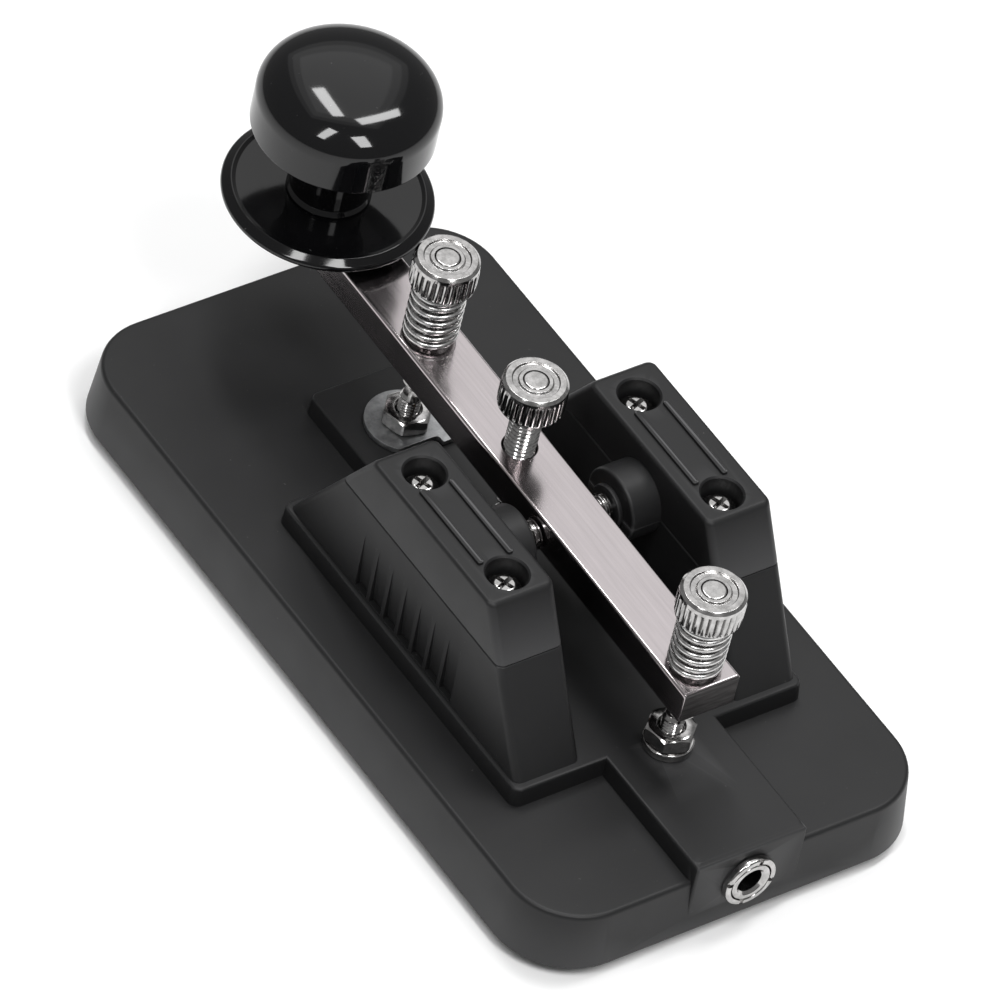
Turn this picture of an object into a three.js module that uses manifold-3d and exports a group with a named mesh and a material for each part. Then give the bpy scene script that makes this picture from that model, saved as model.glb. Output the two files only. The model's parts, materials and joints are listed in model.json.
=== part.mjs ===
// A straight morse key: a moulded base with two bearing pedestals, a steel lever on a
// cross axle, three knurled adjusting screws, a skirted knob and a 3.5 mm jack socket.
//
// Millimetres, +Z up. +Y points from the jack to the knob, +X is the right-hand side seen
// from the jack. The origin lies on the table under the middle of the overall box.
import * as THREE from 'three';
import { mergeVertices } from 'three/addons/utils/BufferGeometryUtils.js';
import Module from 'manifold-3d';

const wasm = await Module();
wasm.setup();

// ---------------------------------------------------------------- driving dimensions
// Heights up to LENGTH_SHIFT are above the lower rim of the base, y is from its middle.
const GAP = 0.1; // between two fixed pieces that touch
const FOOT_H = 1.5; // rubber feet under the rim
const LENGTH_SHIFT = -1.78; // middle of the base, from the middle of the overall length

const BASE_HALF_W = 30.0; // top outline
const BASE_HALF_L = 56.95;
const BASE_TOP = 8.9;
const BASE_DRAFT = 0.9; // the rim is this much wider all round
const CORNER_R = 9.6;
const WALL = 2.4;
const PLATE_T = 1.9;
const PLATE_LEDGE = 1.0;
const CORNER_STEPS = 7; // per corner of the base
const SMALL_STEPS = 3; // per small corner

const DECK_TOP = 11.8; // raised plus-shaped deck
const SPINE_HALF_W = 8.5;
const SPINE_FRONT = 33.9;
const SPINE_REAR = -57.6; // flat jack panel
const WING_HALF_W = 22.3;
const WING_FRONT = 18.8;
const WING_REAR = -36.5;

const TOWER_IN = 11.8; // inner and outer faces, from the middle
const TOWER_OUT = 21.8;
const TOWER_TOP = 33.2;
const TOWER_FRONT = 4.3; // of the top face
const TOWER_REAR = -23.2;
const FRONT_SLOPE = 0.64; // growth in y for each mm down
const REAR_SLOPE = 0.575;
const TOWER_EDGE = 0.5;
const RIB_COUNT = 6;
const RIB_PITCH = 3.3;
const RIB_FIRST = -0.5;
const RIB_TOP = 21.3;
const RIB_DEPTH = 0.8;
const RIB_W = 0.8;

const PIVOT_Y = -9.5;
const PIVOT_Z = 25.5; // also the split between pedestal and cap
const BOSS_R = 5.1;
const BOSS_END = 7.3;
const BUSH_R = 2.4;
const BUSH_FLANGE_R = 3.1;
const BUSH_END = 16.0;
const AXLE_R = 1.25;
const AXLE_HALF = 15.4;
const BORE_CLEAR = 0.1;

const CAP_SCREW_X = 16.6;
const CAP_SCREW_Y = [-0.2, -19.4];
const CAP_BORE_R = 2.8;
const CAP_SEAT = 29.6;
const CAP_SCREW_LOW = 17.0;

// Lever, in its own frame: origin on the pivot axis, y along the arm, z out of its top.
const REST_TILT = THREE.MathUtils.degToRad(1.27);
const ARM_HALF_W = 4.3;
const ARM_TOP = 3.35;
const ARM_T = 5.2;
const ARM_EDGE = 0.45;
const ARM_REAR = -33.8;
const ARM_FRONT = 63.3;
const ARM_LOW = ARM_TOP - ARM_T;
const KNOB_Y = 57.9;
const KNOB = { r: 12.25, rim: 17.7, shoulder: 22.7, dome: 5.5, power: 2.3, neck: 5.2 };

const HEAD_R = 4.4;
const HEAD_H = 4.7;
const KNURLS = 20;
const SPIGOT_R = 1.65;
const SCREW_R = 1.95;
const TENSION_R = 2.15;
const FRONT_SCREW = { y: 32.7, headLow: 12.99, tip: -6.97 };
const TENSION_SCREW = { y: 11.2, headLow: 11.05, tip: -2.6 };
const REAR_SCREW = { y: -29.5, headLow: 12.56, tip: -6.75 };
const LOCK_SPRING = { r: 3.3, wire: 0.35, turns: 6 };
const RETURN_SPRING = { r: 1.05, wire: 0.25, turns: 7 };
const TENSION_BORE_R = 1.6;
const TENSION_BORE_TOP = 2.6;

const FRONT_STUD_Y = 24.0;
const REAR_STUD_Y = -37.8;
const STUD_R = 1.5;
const FRONT_STUD_TOP = 18.0;
const REAR_STUD_TOP = 17.8;
const STUD_LOW = 5.2;
const NUT_R = 3.5; // across the corners, halved
const NUT_H = 2.3;
const LUG_R = 5.5;
const LUG_T = 0.8;
const LUG_TAIL = { x0: 2.4, x1: 6.0, flat: -4.1, end: -5.4 };
const WASHER_R = 3.4;
const WASHER_T = 1.2;

const JACK_Z = 6.6;
const JACK_HOLE_R = 1.8; // 3.5 mm plug
const JACK_BARREL_R = 2.9;
const JACK_RING_R = 4.1;
const JACK_RING_T = 1.1;
const JACK_BODY = { x: 4.4, front: -42.5, rear: -54.9, low: 3.5, high: 9.2 };

const FOOT_X = 20.5;
const FOOT_Y = 46.5;
const FOOT_R = 4.5;
const PLATE_SCREW_X = 22.0;
const PLATE_SCREW_Y = 36.0;
const POST_R = 3.4;

const FINE = 24; // sides of what shows, and of what is hidden
const COARSE = 14;

// ---------------------------------------------------------------- materials
function finish(color, roughness, metalness) {
  return new THREE.MeshStandardMaterial({ color, roughness, metalness });
}

const MOULDED = finish(0x1d1d1e, 0.6, 0);
const GLOSS = finish(0x0a0a0b, 0.12, 0);
const STEEL = finish(0xc9c2c1, 0.35, 1);
const NICKEL = finish(0xc4c2bd, 0.25, 1);
const BRASS = finish(0xb08d57, 0.35, 1);
const ZINC_SHEET = finish(0x8c8f92, 0.45, 1);
const SPRING_STEEL = finish(0x9fa0a2, 0.3, 1);
const RUBBER = finish(0x141414, 0.9, 0);
const WIRE_RED = finish(0x7c1518, 0.5, 0);
const WIRE_BLACK = finish(0x161617, 0.5, 0);

// ---------------------------------------------------------------- shape helpers
// One merged, indexed geometry with no collapsed triangles.
function welded(geometry) {
  const bare = geometry.clone();
  bare.deleteAttribute('normal');
  bare.deleteAttribute('uv');
  const merged = mergeVertices(bare, 1e-4);
  const index = merged.index.array;
  const kept = [];
  for (let i = 0; i < index.length; i += 3) {
    const [a, b, c] = [index[i], index[i + 1], index[i + 2]];
    if (a !== b && b !== c && c !== a) kept.push(a, b, c);
  }
  merged.setIndex(kept);
  return merged;
}

function toSolid(shape) {
  if (!shape.isBufferGeometry) return shape;
  const mesh = welded(shape);
  return new wasm.Manifold(new wasm.Mesh({
    numProp: 3,
    vertProperties: new Float32Array(mesh.attributes.position.array),
    triVerts: new Uint32Array(mesh.index.array),
  }));
}

function toGeometry(solid) {
  const mesh = solid.getMesh();
  const geometry = new THREE.BufferGeometry();
  geometry.setAttribute('position', new THREE.BufferAttribute(mesh.vertProperties, 3));
  geometry.setIndex(new THREE.BufferAttribute(mesh.triVerts, 1));
  return geometry;
}

const joined = (...shapes) => shapes.map(toSolid).reduce((sum, next) => sum.add(next));
const cutBy = (shape, ...tools) => {
  return tools.map(toSolid).reduce((rest, next) => rest.subtract(next), toSolid(shape));
};
const common = (a, b) => toSolid(a).intersect(toSolid(b));

function block(x0, x1, y0, y1, z0, z1) {
  return new THREE.BoxGeometry(x1 - x0, y1 - y0, z1 - z0)
    .translate((x0 + x1) / 2, (y0 + y1) / 2, (z0 + z1) / 2);
}

// A profile of [radius, height] points turned about Z, from the bottom round to the top.
function turned(profile, sides = FINE) {
  const points = profile.map(([r, z]) => new THREE.Vector2(r, z));
  return new THREE.LatheGeometry(points, sides).rotateX(Math.PI / 2);
}

const rod = (r, z0, z1, sides = COARSE) => turned([[0, z0], [r, z0], [r, z1], [0, z1]], sides);

function tube(inner, outer, z0, z1, sides = FINE) {
  return turned([[inner, z0], [outer, z0], [outer, z1], [inner, z1], [inner, z0]], sides);
}

const alongX = (geometry) => geometry.rotateY(Math.PI / 2);
const alongMinusY = (geometry) => geometry.rotateX(Math.PI / 2);

function hexPrism(r, z0, z1, turnDeg) {
  return rod(r, z0, z1, 6).rotateZ(THREE.MathUtils.degToRad(turnDeg));
}

function arcPoints(cx, cy, r, from, to, steps) {
  return Array.from({ length: steps + 1 }, (_, i) => {
    const a = from + ((to - from) * i) / steps;
    return [cx + r * Math.cos(a), cy + r * Math.sin(a)];
  });
}

// Counter-clockwise rounded rectangle about the origin.
function roundedRect(halfX, halfY, r, steps = CORNER_STEPS) {
  const [x, y, q] = [halfX - r, halfY - r, Math.PI / 2];
  return [
    ...arcPoints(x, y, r, 0, q, steps),
    ...arcPoints(-x, y, r, q, 2 * q, steps),
    ...arcPoints(-x, -y, r, 2 * q, 3 * q, steps),
    ...arcPoints(x, -y, r, 3 * q, 4 * q, steps),
  ];
}

// Joins convex outlines, each { points, z }, bottom to top, and closes both ends.
function loft(rings) {
  const n = rings[0].points.length;
  const position = rings.flatMap(({ points, z }) => points.flatMap(([x, y]) => [x, y, z]));
  const index = [];
  for (let k = 0; k + 1 < rings.length; k += 1) {
    for (let i = 0; i < n; i += 1) {
      const [a, b] = [k * n + i, k * n + ((i + 1) % n)];
      index.push(a, b, b + n, a, b + n, a + n);
    }
  }
  const top = (rings.length - 1) * n;
  for (let i = 1; i + 1 < n; i += 1) {
    index.push(0, i + 1, i, top, top + i, top + i + 1);
  }
  const geometry = new THREE.BufferGeometry();
  geometry.setAttribute('position', new THREE.Float32BufferAttribute(position, 3));
  geometry.setIndex(index);
  return geometry;
}

// A rounded pad whose outline grows or shrinks by `by` at each height.
function pad(halfX, halfY, r, levels, steps = CORNER_STEPS) {
  return loft(levels.map(([z, by]) => {
    return { z, points: roundedRect(halfX + by, halfY + by, r + by, steps) };
  }));
}

function shapeOf(points) {
  return new THREE.Shape(points.map(([x, y]) => new THREE.Vector2(x, y)));
}

class Helix extends THREE.Curve {
  constructor(r, z0, z1, turns) {
    super();
    Object.assign(this, { r, z0, z1, turns });
  }

  getPoint(t, target = new THREE.Vector3()) {
    const a = 2 * Math.PI * this.turns * t;
    return target.set(
      this.r * Math.cos(a),
      this.r * Math.sin(a),
      this.z0 + (this.z1 - this.z0) * t,
    );
  }
}

function wireAlong(path, r, sides, steps) {
  const section = shapeOf(arcPoints(0, 0, r, 0, 2 * Math.PI * (1 - 1 / sides), sides - 1));
  return new THREE.ExtrudeGeometry(section, { steps, extrudePath: path });
}

// A compression spring whose wire stays between the heights z0 and z1.
function coilSpring({ r, wire, turns }, z0, z1) {
  const STEPS_PER_TURN = 10;
  const path = new Helix(r, z0 + wire * 1.1, z1 - wire * 1.1, turns);
  return wireAlong(path, wire, 4, turns * STEPS_PER_TURN);
}

// ---------------------------------------------------------------- the tree
const key = new THREE.Group();
const fixed = new THREE.Group();
fixed.position.set(0, LENGTH_SHIFT, FOOT_H);
key.add(fixed);

const lever = new THREE.Group();
lever.position.set(0, PIVOT_Y, PIVOT_Z);
lever.rotation.x = REST_TILT;
fixed.add(lever);

function add(group, name, shape, material, [x, y, z] = [0, 0, 0]) {
  const geometry = shape.isBufferGeometry ? welded(shape) : toGeometry(shape);
  geometry.computeVertexNormals();
  const mesh = new THREE.Mesh(geometry, material);
  mesh.name = name;
  mesh.position.set(x, y, z);
  group.add(mesh);
}

const SIDES = [['left', -1], ['right', 1]];
const ENDS = [['front', 1], ['rear', -1]];

// ---------------------------------------------------------------- base and pedestals
// Pedestal and cap in one piece: ends that lean inwards, corners and top edges rounded.
function towerBlock(side) {
  const middle = (side * (TOWER_IN + TOWER_OUT)) / 2;
  const levels = [[DECK_TOP - 1, 0], [TOWER_TOP - TOWER_EDGE, 0], [TOWER_TOP - 0.15, 0.15],
    [TOWER_TOP, TOWER_EDGE]];
  return loft(levels.map(([z, inset]) => {
    const front = TOWER_FRONT + FRONT_SLOPE * (TOWER_TOP - z) - inset;
    const rear = TOWER_REAR - REAR_SLOPE * (TOWER_TOP - z) + inset;
    const halfX = (TOWER_OUT - TOWER_IN) / 2 - inset;
    const outline = roundedRect(halfX, (front - rear) / 2, TOWER_EDGE * 2 - inset, SMALL_STEPS);
    return { z, points: outline.map(([x, y]) => [x + middle, y + (front + rear) / 2]) };
  }));
}

function bearingBoss(side) {
  const inside = side * (TOWER_IN + 1);
  const [x0, x1] = [side * BOSS_END, inside].sort((a, b) => a - b);
  return alongX(rod(BOSS_R, x0, x1, FINE)).translate(0, PIVOT_Y, PIVOT_Z);
}

function bushBore(side) {
  const far = side * (BUSH_END + 0.5);
  const [x0, x1] = [side * (BOSS_END - 1), far].sort((a, b) => a - b);
  return alongX(rod(BUSH_R + BORE_CLEAR, x0, x1, FINE)).translate(0, PIVOT_Y, PIVOT_Z);
}

// Shallow pocket in the outer face of a pedestal that leaves the ribs standing.
function ribPocket(side) {
  const margin = RIB_PITCH * 0.75;
  const last = RIB_FIRST - (RIB_COUNT - 1) * RIB_PITCH;
  const [x0, x1] = [side * (TOWER_OUT - RIB_DEPTH), side * (TOWER_OUT + 1)].sort((a, b) => a - b);
  let pocket = toSolid(block(x0, x1, last - margin, RIB_FIRST + margin, DECK_TOP + 0.4, RIB_TOP));
  for (let i = 0; i < RIB_COUNT; i += 1) {
    const y = RIB_FIRST - i * RIB_PITCH;
    pocket = cutBy(pocket, block(x0 - 1, x1 + 1, y - RIB_W / 2, y + RIB_W / 2, DECK_TOP, RIB_TOP + 1));
  }
  return pocket;
}

function pedestal(side) {
  const below = block(-40, 40, -60, 60, 0, PIVOT_Z);
  const pilots = CAP_SCREW_Y.map((y) => {
    return rod(STUD_R + BORE_CLEAR, CAP_SCREW_LOW - 1, PIVOT_Z + 1)
      .translate(side * CAP_SCREW_X, y, 0);
  });
  return cutBy(common(joined(towerBlock(side), bearingBoss(side)), below), ...pilots, ribPocket(side));
}

function baseBody() {
  const outer = pad(BASE_HALF_W, BASE_HALF_L, CORNER_R, [
    [0, BASE_DRAFT],
    [BASE_TOP - 0.8, BASE_DRAFT * 0.09],
    [BASE_TOP - 0.25, -0.2],
    [BASE_TOP, -0.8],
  ]);
  const deckLevels = [[BASE_TOP - 1, 0.3], [DECK_TOP - 0.35, 0], [DECK_TOP, -0.35]];
  const spine = pad(SPINE_HALF_W, (SPINE_FRONT - SPINE_REAR) / 2 - 0.3, 1.0, deckLevels, SMALL_STEPS)
    .translate(0, (SPINE_FRONT + SPINE_REAR) / 2 + 0.3, 0);
  const wings = pad(WING_HALF_W, (WING_FRONT - WING_REAR) / 2, 1.0, deckLevels, SMALL_STEPS)
    .translate(0, (WING_FRONT + WING_REAR) / 2, 0);
  const panel = block(-SPINE_HALF_W, SPINE_HALF_W, SPINE_REAR, SPINE_REAR + 6, 0, DECK_TOP - 0.35);
  const posts = [-1, 1].flatMap((sx) => [-1, 1].map((sy) => {
    return rod(POST_R, PLATE_T + 0.3, BASE_TOP - 1)
      .translate(sx * PLATE_SCREW_X, sy * PLATE_SCREW_Y, 0);
  }));
  return { solid: joined(outer, spine, wings, panel), posts };
}

function baseShell() {
  const { solid, posts } = baseBody();
  const [cx, cy] = [BASE_HALF_W - WALL, BASE_HALF_L - WALL];
  const hollow = pad(cx, cy, CORNER_R - WALL, [[-1, 0], [BASE_TOP - WALL, 0]]);
  const plateSeat = pad(cx + PLATE_LEDGE, cy + PLATE_LEDGE, CORNER_R - WALL + PLATE_LEDGE, [
    [-1, 0],
    [PLATE_T + 0.2, 0],
  ]);
  const spineHollow = block(-6, 6, SPINE_REAR + WALL, SPINE_FRONT - 4, 0, DECK_TOP - WALL);
  const studHoles = [FRONT_STUD_Y, REAR_STUD_Y].map((y) => {
    return rod(STUD_R + 0.2, 0, DECK_TOP + 1).translate(0, y, 0);
  });
  const seatHole = rod(1.2, 0, DECK_TOP + 1).translate(0, springAxisY(), 0);
  const jackHole = alongMinusY(rod(JACK_BARREL_R + 0.2, 50, 60)).translate(0, 0, JACK_Z);
  const pilots = posts.map((_, i) => {
    const [sx, sy] = [i < 2 ? -1 : 1, i % 2 ? 1 : -1];
    return rod(1.3, 0, BASE_TOP - 1.5).translate(sx * PLATE_SCREW_X, sy * PLATE_SCREW_Y, 0);
  });
  const shell = cutBy(solid, hollow, plateSeat, spineHollow);
  const towers = SIDES.map(([, side]) => pedestal(side));
  const bores = SIDES.map(([, side]) => bushBore(side));
  return cutBy(joined(shell, ...posts, ...towers), ...studHoles, seatHole, jackHole, ...pilots, ...bores);
}

function bearingCap(side) {
  const above = block(-40, 40, -60, 60, PIVOT_Z + GAP, TOWER_TOP + 5);
  const bores = CAP_SCREW_Y.flatMap((y) => [
    rod(STUD_R + 0.3, PIVOT_Z, CAP_SEAT + 1).translate(side * CAP_SCREW_X, y, 0),
    rod(CAP_BORE_R, CAP_SEAT, TOWER_TOP + 1, FINE).translate(side * CAP_SCREW_X, y, 0),
  ]);
  const cap = cutBy(common(joined(towerBlock(side), bearingBoss(side)), above), bushBore(side), ...bores);
  const ridges = [-2.2, 2.2].map((dx) => {
    return block(-0.35, 0.35, -17.0, -2.7, TOWER_TOP - 0.5, TOWER_TOP + 0.4)
      .translate(side * CAP_SCREW_X + dx, 0, 0);
  });
  return joined(cap, ...ridges);
}

// Pan-headed cross-recess screw, head seat at z = 0 and shank downwards.
function panScrew(headR, headH, shankR, length) {
  const screw = turned([
    [0, -length],
    [shankR * 0.6, -length],
    [shankR, -length + 1],
    [shankR, 0],
    [headR, 0],
    [headR, headH * 0.55],
    [headR * 0.75, headH * 0.9],
    [0, headH],
  ], COARSE);
  const arm = headR * 0.62;
  const slot = [block(-arm, arm, -0.4, 0.4, headH - 0.8, headH + 1),
    block(-0.4, 0.4, -arm, arm, headH - 0.8, headH + 1)];
  return cutBy(screw, ...slot);
}

// Countersunk screw driven upwards, flush face at z = 0.
function plateScrew() {
  const [headR, headH, shankR, length] = [2.5, 1.3, 1.2, 7.0];
  const screw = turned([[0, 0], [headR, 0], [shankR, headH], [shankR, length], [0, length]], COARSE);
  return cutBy(screw, block(-1.5, 1.5, -0.35, 0.35, -1, 0.6), block(-0.35, 0.35, -1.5, 1.5, -1, 0.6));
}

function bottomPlate() {
  const [cx, cy] = [BASE_HALF_W - WALL + PLATE_LEDGE, BASE_HALF_L - WALL + PLATE_LEDGE];
  const plate = pad(cx - 0.2, cy - 0.2, CORNER_R - WALL + PLATE_LEDGE - 0.2, [[0, 0], [PLATE_T, 0]]);
  const holes = [-1, 1].flatMap((sx) => [-1, 1].map((sy) => {
    return turned([[0, -1], [3.8, -1], [1.5, 1.5], [1.5, 3], [0, 3]], COARSE)
      .translate(sx * PLATE_SCREW_X, sy * PLATE_SCREW_Y, 0);
  }));
  return cutBy(plate, ...holes);
}

function foot() {
  return turned([
    [0, -FOOT_H],
    [FOOT_R - 0.8, -FOOT_H],
    [FOOT_R, -FOOT_H + 0.6],
    [FOOT_R, -GAP],
    [0, -GAP],
  ], COARSE);
}

function addBase() {
  add(fixed, 'base_shell', baseShell(), MOULDED);
  add(fixed, 'bottom_plate', bottomPlate(), ZINC_SHEET);
  for (const [side, sx] of SIDES) {
    add(fixed, `${side}_bearing_cap`, bearingCap(sx), MOULDED);
    for (const [end, sy] of ENDS) {
      const screwY = CAP_SCREW_Y[sy > 0 ? 0 : 1];
      add(fixed, `cap_screw_${side}_${end}`,
        panScrew(2.45, 1.7, STUD_R - 0.05, CAP_SEAT - CAP_SCREW_LOW), NICKEL,
        [sx * CAP_SCREW_X, screwY, CAP_SEAT + GAP]);
      add(fixed, `plate_screw_${side}_${end}`, plateScrew(), NICKEL,
        [sx * PLATE_SCREW_X, sy * PLATE_SCREW_Y, 0.05]);
      add(fixed, `foot_${side}_${end}`, foot(), RUBBER, [sx * FOOT_X, sy * FOOT_Y, 0]);
    }
  }
}

// ---------------------------------------------------------------- bearings
function bush(side) {
  const [face, seat] = [BOSS_END - 0.75, BOSS_END - GAP];
  const [inner, outer] = [AXLE_R + BORE_CLEAR, BUSH_R];
  const profile = [
    [inner, face],
    [BUSH_FLANGE_R, face],
    [BUSH_FLANGE_R, seat],
    [outer, seat],
    [outer, BUSH_END],
    [inner, BUSH_END],
    [inner, face],
  ];
  const geometry = alongX(turned(profile, COARSE + 2));
  return side > 0 ? geometry : geometry.rotateZ(Math.PI);
}

function addBearings() {
  for (const [side, sx] of SIDES) {
    add(fixed, `${side}_bearing_bush`, bush(sx), MOULDED, [0, PIVOT_Y, PIVOT_Z]);
  }
}

// ---------------------------------------------------------------- contacts in the deck
function stud(top) {
  return turned([
    [0, STUD_LOW],
    [STUD_R * 0.7, STUD_LOW],
    [STUD_R, STUD_LOW + 0.6],
    [STUD_R, top - 0.5],
    [STUD_R * 0.75, top],
    [0, top],
  ], COARSE);
}

function hexNut(z0, turnDeg) {
  const nut = cutBy(hexPrism(NUT_R, z0, z0 + NUT_H, turnDeg), rod(STUD_R + 0.15, z0 - 1, z0 + NUT_H + 1));
  const chamfer = turned([
    [0, z0],
    [NUT_R + 0.1, z0],
    [NUT_R + 0.1, z0 + NUT_H - 0.45],
    [NUT_R * 0.86, z0 + NUT_H],
    [0, z0 + NUT_H],
  ], COARSE + 4);
  return common(nut, chamfer);
}

// Ring tag under the front contact nut, with a tail that runs back under the lever.
function contactLug() {
  const disc = rod(LUG_R, 0, LUG_T, FINE + 8);
  const tail = block(LUG_TAIL.x0, LUG_TAIL.x1, LUG_TAIL.end, 0, 0, LUG_T);
  const flat = block(-LUG_R - 1, LUG_TAIL.x0, -LUG_R - 1, LUG_TAIL.flat, -1, LUG_T + 1);
  return cutBy(joined(disc, tail), flat, rod(STUD_R + 0.2, -1, LUG_T + 1));
}

function springAxisY() {
  // Where the tension screw's axis passes half-way between the deck and the pivot.
  const drop = (PIVOT_Z - DECK_TOP) / 2;
  return PIVOT_Y + TENSION_SCREW.y * Math.cos(REST_TILT) + drop * Math.sin(REST_TILT);
}

function springSeat() {
  return turned([
    [0, 6.6],
    [1.0, 6.6],
    [1.0, DECK_TOP + GAP],
    [2.7, DECK_TOP + GAP],
    [2.7, DECK_TOP + 0.9],
    [2.4, DECK_TOP + 1.1],
    [0.75, DECK_TOP + 1.1],
    [0.55, DECK_TOP + 2.4],
    [0, DECK_TOP + 2.4],
  ], COARSE);
}

function addContacts() {
  const deck = DECK_TOP + GAP;
  const under = DECK_TOP - WALL - GAP - NUT_H;
  add(fixed, 'front_contact_stud', stud(FRONT_STUD_TOP), NICKEL, [0, FRONT_STUD_Y, 0]);
  add(fixed, 'front_contact_lug', contactLug(), ZINC_SHEET, [0, FRONT_STUD_Y, deck]);
  add(fixed, 'front_contact_nut', hexNut(deck + LUG_T + GAP, -13), NICKEL, [0, FRONT_STUD_Y, 0]);
  add(fixed, 'front_contact_under_nut', hexNut(under, 10), NICKEL, [0, FRONT_STUD_Y, 0]);
  add(fixed, 'rear_stop_stud', stud(REAR_STUD_TOP), NICKEL, [0, REAR_STUD_Y, 0]);
  add(fixed, 'rear_stop_washer', tube(STUD_R + 0.2, WASHER_R, deck, deck + WASHER_T), NICKEL,
    [0, REAR_STUD_Y, 0]);
  add(fixed, 'rear_stop_nut', hexNut(deck + WASHER_T + GAP, -19), NICKEL, [0, REAR_STUD_Y, 0]);
  add(fixed, 'rear_stop_under_nut', hexNut(under, 25), NICKEL, [0, REAR_STUD_Y, 0]);
  add(fixed, 'return_spring_seat', springSeat(), BRASS, [0, springAxisY(), 0]);
}

// ---------------------------------------------------------------- jack and wiring
function jackBody() {
  const { x, front, rear, low, high } = JACK_BODY;
  const bore = alongMinusY(rod(JACK_BARREL_R + 0.15, -front - 8.5, -rear + 1)).translate(0, 0, JACK_Z);
  const throat = alongMinusY(rod(JACK_HOLE_R + 0.1, -front + 2, -rear)).translate(0, 0, JACK_Z);
  return cutBy(block(-x, x, rear, front, low, high), bore, throat);
}

function jackBarrel() {
  const outer = -SPINE_REAR + JACK_RING_T + 0.1;
  const deep = -JACK_BODY.front + 9.0;
  return alongMinusY(tube(JACK_HOLE_R, JACK_BARREL_R, deep, outer)).translate(0, 0, JACK_Z);
}

function jackRing() {
  const near = -SPINE_REAR + GAP;
  return alongMinusY(turned([
    [JACK_BARREL_R + 0.15, near],
    [JACK_RING_R, near],
    [JACK_RING_R, near + JACK_RING_T - 0.3],
    [JACK_RING_R - 0.4, near + JACK_RING_T],
    [JACK_BARREL_R + 0.15, near + JACK_RING_T],
    [JACK_BARREL_R + 0.15, near],
  ])).translate(0, 0, JACK_Z);
}

// Solder tags behind the jack body.
function jackTag(x) {
  const y = JACK_BODY.front + GAP;
  return joined(
    block(x - 0.9, x + 0.9, y, y + 0.4, JACK_BODY.low + 0.4, JACK_BODY.high - 0.6),
    block(x - 0.6, x + 0.6, y, y + 3.0, JACK_Z - 0.2, JACK_Z + 0.2),
  );
}

function leadFrom(x, startY) {
  const [tagY, tagZ] = [JACK_BODY.front + 3.6, JACK_Z];
  const low = PLATE_T + 1.3;
  const path = new THREE.CatmullRomCurve3([
    new THREE.Vector3(x * 0.4, startY, STUD_LOW - 0.9),
    new THREE.Vector3(x, startY - 2.5, low),
    new THREE.Vector3(x * 1.2, startY - 7, low),
    new THREE.Vector3(x * 1.2, tagY + 9, low),
    new THREE.Vector3(x * 1.1, tagY + 4, low + 0.6),
    new THREE.Vector3(x, tagY, tagZ),
  ]);
  return wireAlong(path, 0.5, 6, 20);
}

function addJack() {
  add(fixed, 'jack_body', jackBody(), MOULDED);
  add(fixed, 'jack_barrel', jackBarrel(), NICKEL);
  add(fixed, 'jack_ring_nut', jackRing(), NICKEL);
  add(fixed, 'jack_tip_tag', jackTag(-2.6), BRASS);
  add(fixed, 'jack_sleeve_tag', jackTag(2.6), BRASS);
  add(fixed, 'contact_lead', leadFrom(-2.6, FRONT_STUD_Y), WIRE_RED);
  add(fixed, 'lever_lead', leadFrom(2.6, springAxisY()), WIRE_BLACK);
}

// ---------------------------------------------------------------- lever
function leverArm() {
  const half = (ARM_FRONT - ARM_REAR) / 2;
  const bar = pad(ARM_HALF_W, half, ARM_EDGE + 0.02, [
    [ARM_LOW, -ARM_EDGE],
    [ARM_LOW + ARM_EDGE, 0],
    [ARM_TOP - ARM_EDGE, 0],
    [ARM_TOP - ARM_EDGE * 0.3, -ARM_EDGE * 0.3],
    [ARM_TOP, -ARM_EDGE],
  ], 2).translate(0, (ARM_FRONT + ARM_REAR) / 2, 0);
  const hole = (r, y) => rod(r, ARM_LOW - 1, ARM_TOP + 1).translate(0, y, 0);
  return cutBy(
    bar,
    hole(SCREW_R + 0.2, FRONT_SCREW.y),
    hole(TENSION_R + 0.2, TENSION_SCREW.y),
    hole(SCREW_R + 0.2, REAR_SCREW.y),
    hole(SCREW_R + 0.2, KNOB_Y),
    alongX(rod(AXLE_R + BORE_CLEAR, -ARM_HALF_W - 1, ARM_HALF_W + 1)),
  );
}

function axleCollar(side) {
  const [x0, x1] = [ARM_HALF_W + 0.2, BOSS_END - 0.85];
  const [inner, outer, groove] = [AXLE_R + 0.15, 2.15, 1.8];
  const LANDS = 3;
  const step = (x1 - x0) / (2 * LANDS - 1);
  const profile = [[inner, x0]];
  for (let i = 0; i < LANDS; i += 1) {
    const land = x0 + 2 * i * step;
    profile.push([outer, land], [outer, land + step]);
    if (i + 1 < LANDS) profile.push([groove, land + step], [groove, land + 2 * step]);
  }
  profile.push([inner, x1], [inner, x0]);
  const geometry = alongX(turned(profile, COARSE + 2));
  return side > 0 ? geometry : geometry.rotateZ(Math.PI);
}

function knobSkirt() {
  return turned([
    [SCREW_R + 0.15, ARM_TOP + GAP],
    [4.6, ARM_TOP + GAP],
    [4.8, 4.5],
    [12.6, 4.7],
    [13.8, 5.1],
    [14.1, 5.7],
    [13.7, 6.3],
    [12.6, 6.7],
    [12.2, 6.3],
    [SCREW_R + 0.15, 6.3],
    [SCREW_R + 0.15, ARM_TOP + GAP],
  ], FINE + 8);
}

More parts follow.
